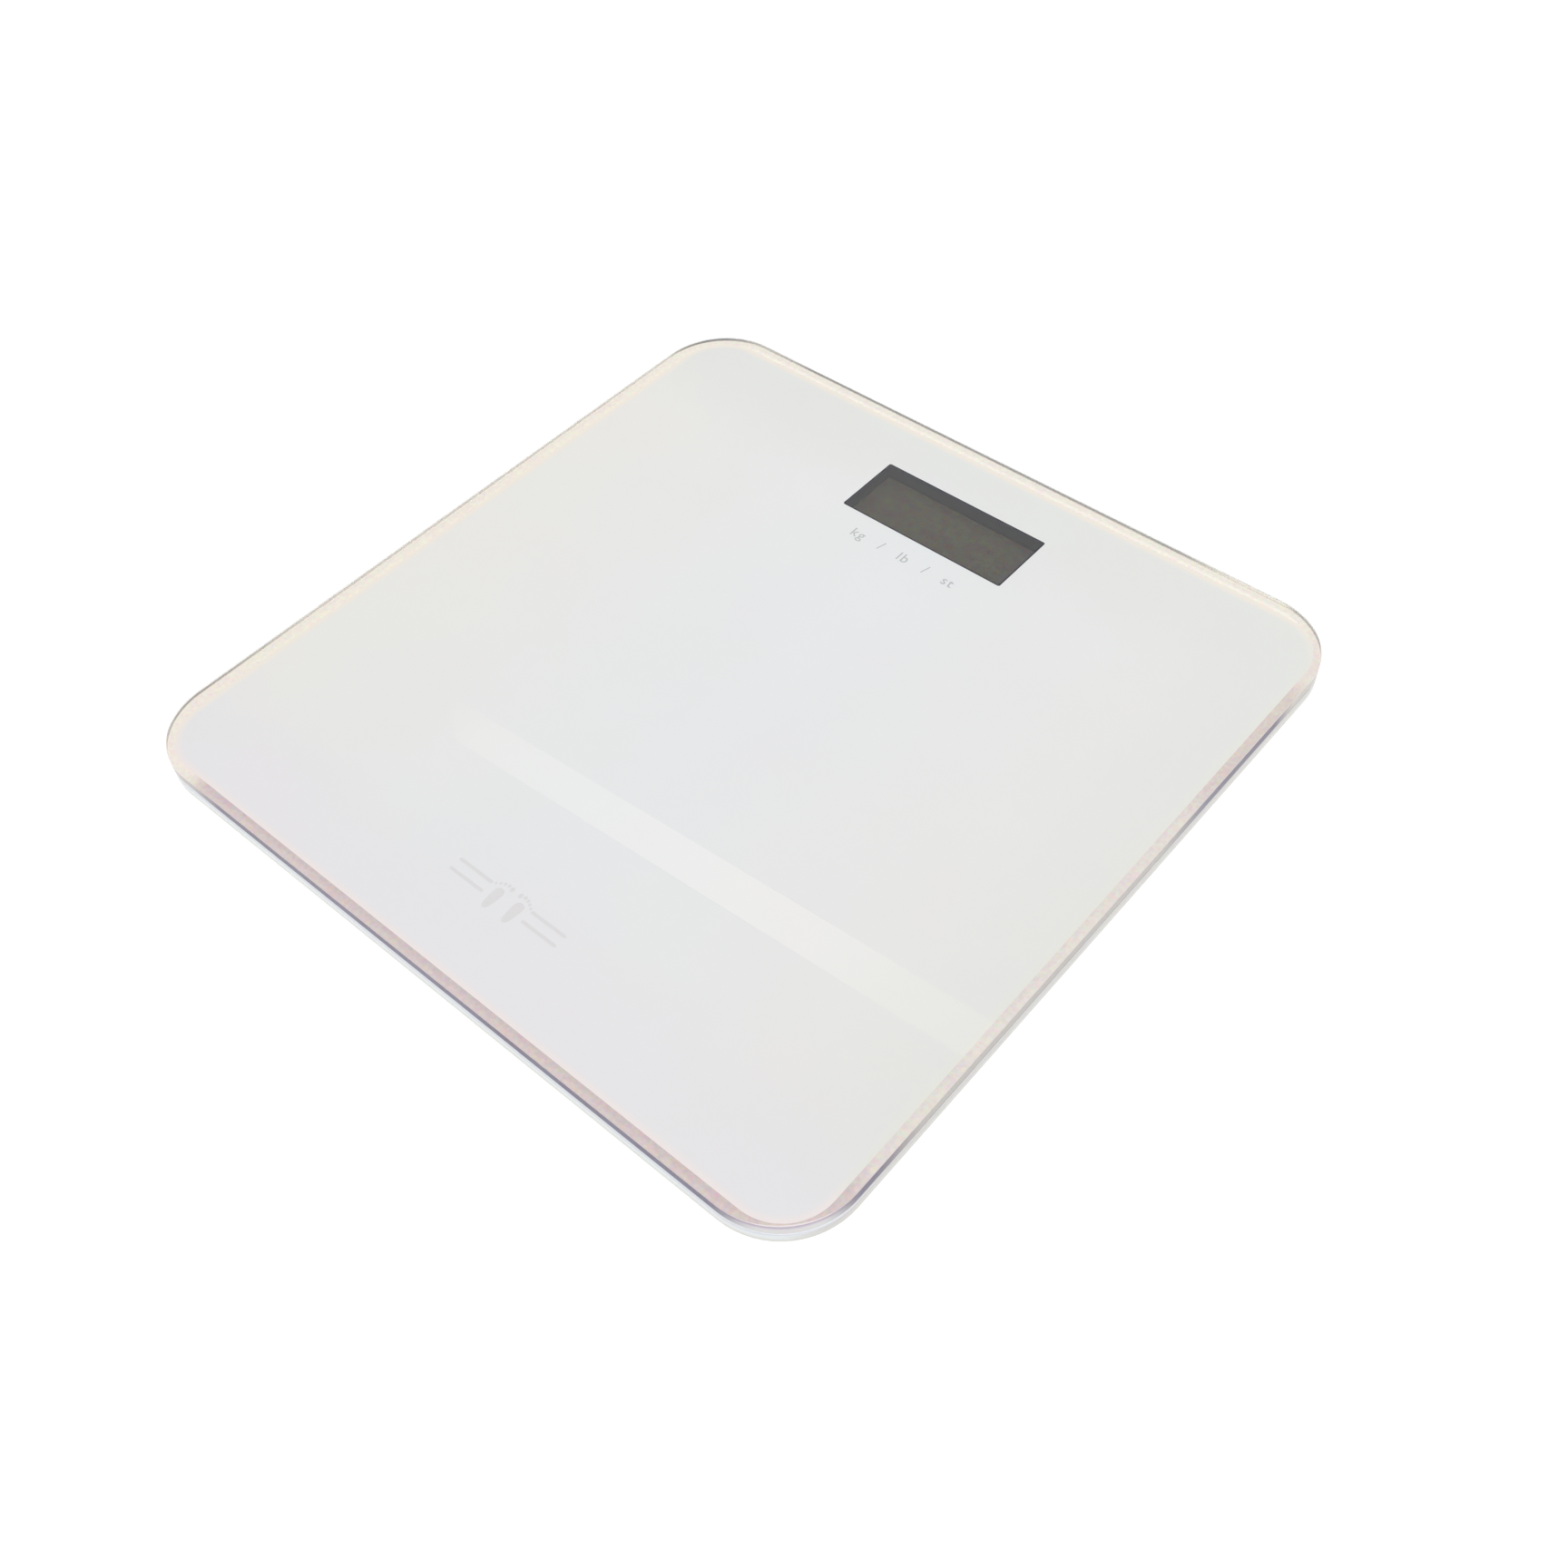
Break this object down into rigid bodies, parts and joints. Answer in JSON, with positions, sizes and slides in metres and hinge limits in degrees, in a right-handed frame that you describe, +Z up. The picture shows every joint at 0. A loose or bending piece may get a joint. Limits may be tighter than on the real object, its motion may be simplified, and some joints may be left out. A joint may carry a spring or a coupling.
{
  "type": "electronic bathroom scale",
  "caption": "Flat square personal scale: a white-backed glass platform with rounded corners on a shallow tray, with a small display near its far edge, standing on four sensing feet.",
  "frame": {"origin": "middle of the footprint on the floor, level with the undersides of the four feet", "axes": "+X to the user's right, +Y away from the user towards the display, +Z up"},
  "size_m": [0.3, 0.3, 0.022],
  "materials": {
    "clear_glass": "polished",
    "white_film": "smooth white print seen through glass",
    "foam_tape": "open-cell foam, mottled",
    "white_plastic": "satin moulded",
    "natural_plastic": "matte moulded",
    "grey_plastic": "matte moulded",
    "black_plastic": "matte moulded",
    "lcd_grey": "anti-glare polariser, blank",
    "dark_elastomer": "soft",
    "board_green": "solder resist",
    "black_epoxy": "glossy drop",
    "component_brown": "ceramic",
    "cell_steel": "bright nickel",
    "contact_nickel": "satin nickel",
    "plated_steel": "zinc plated",
    "white_silicone": "soft, glossy",
    "clear_rubber": "soft, non-slip",
    "wire_red": "insulation",
    "wire_black": "insulation",
    "wire_white": "insulation",
    "label_film": "blank satin film"
  },
  "bodies": {
    "base": {"glass_platform": "clear_glass", "backing_film": "white_film", "bonding_tape": "foam_tape", "support_pads": "foam_tape", "base_tray": "white_plastic", "rating_label": "label_film", "carrier_screws": "plated_steel", "display_bezel": "black_plastic", "lcd_panel": "lcd_grey", "lcd_connector": "dark_elastomer", "circuit_board": "board_green", "board_screws": "plated_steel", "controller_chip": "black_epoxy", "board_components": "component_brown", "unit_switch": "black_plastic", "coin_cell": "cell_steel", "battery_contact_negative": "contact_nickel", "battery_contact_positive": "contact_nickel", "battery_lead_negative": "wire_black", "battery_lead_positive": "wire_red", "sensor_wires_red": "wire_red", "sensor_wires_black": "wire_black", "sensor_wires_white": "wire_white", "load_cell_front_left": "plated_steel", "gauge_cover_front_left": "white_silicone", "cell_carrier_front_left": "natural_plastic", "load_cell_front_right": "plated_steel", "gauge_cover_front_right": "white_silicone", "cell_carrier_front_right": "natural_plastic", "load_cell_back_left": "plated_steel", "gauge_cover_back_left": "white_silicone", "cell_carrier_back_left": "natural_plastic", "load_cell_back_right": "plated_steel", "gauge_cover_back_right": "white_silicone", "cell_carrier_back_right": "natural_plastic"},
    "front_left_foot": {"foot_pad_front_left": "clear_rubber", "foot_cap_front_left": "white_plastic"},
    "front_right_foot": {"foot_pad_front_right": "clear_rubber", "foot_cap_front_right": "white_plastic"},
    "back_left_foot": {"foot_pad_back_left": "clear_rubber", "foot_cap_back_left": "white_plastic"},
    "back_right_foot": {"foot_pad_back_right": "clear_rubber", "foot_cap_back_right": "white_plastic"},
    "door": {"battery_door": "white_plastic"},
    "button": {"unit_button": "grey_plastic"}
  },
  "joints": [
    {"name": "front_left_foot_press", "type": "slide", "parent": "base", "child": "front_left_foot", "axis": [0, 0, 1], "range_m": [0, 0.0006], "stiffness_N_per_m": 2000},
    {"name": "front_right_foot_press", "type": "slide", "parent": "base", "child": "front_right_foot", "axis": [0, 0, 1], "range_m": [0, 0.0006], "stiffness_N_per_m": 2000},
    {"name": "back_left_foot_press", "type": "slide", "parent": "base", "child": "back_left_foot", "axis": [0, 0, 1], "range_m": [0, 0.0006], "stiffness_N_per_m": 2000},
    {"name": "back_right_foot_press", "type": "slide", "parent": "base", "child": "back_right_foot", "axis": [0, 0, 1], "range_m": [0, 0.0006], "stiffness_N_per_m": 2000},
    {"name": "battery_door_hinge", "type": "hinge", "parent": "base", "child": "door", "pos_m": [0, 0.044, 0.0054], "axis": [-1, 0, 0], "range_deg": [0, 90], "stiffness_Nm_per_rad": 0.02},
    {"name": "unit_button_press", "type": "slide", "parent": "base", "child": "button", "axis": [0, 0, 1], "range_m": [0, 0.0005], "stiffness_N_per_m": 150}
  ]
}
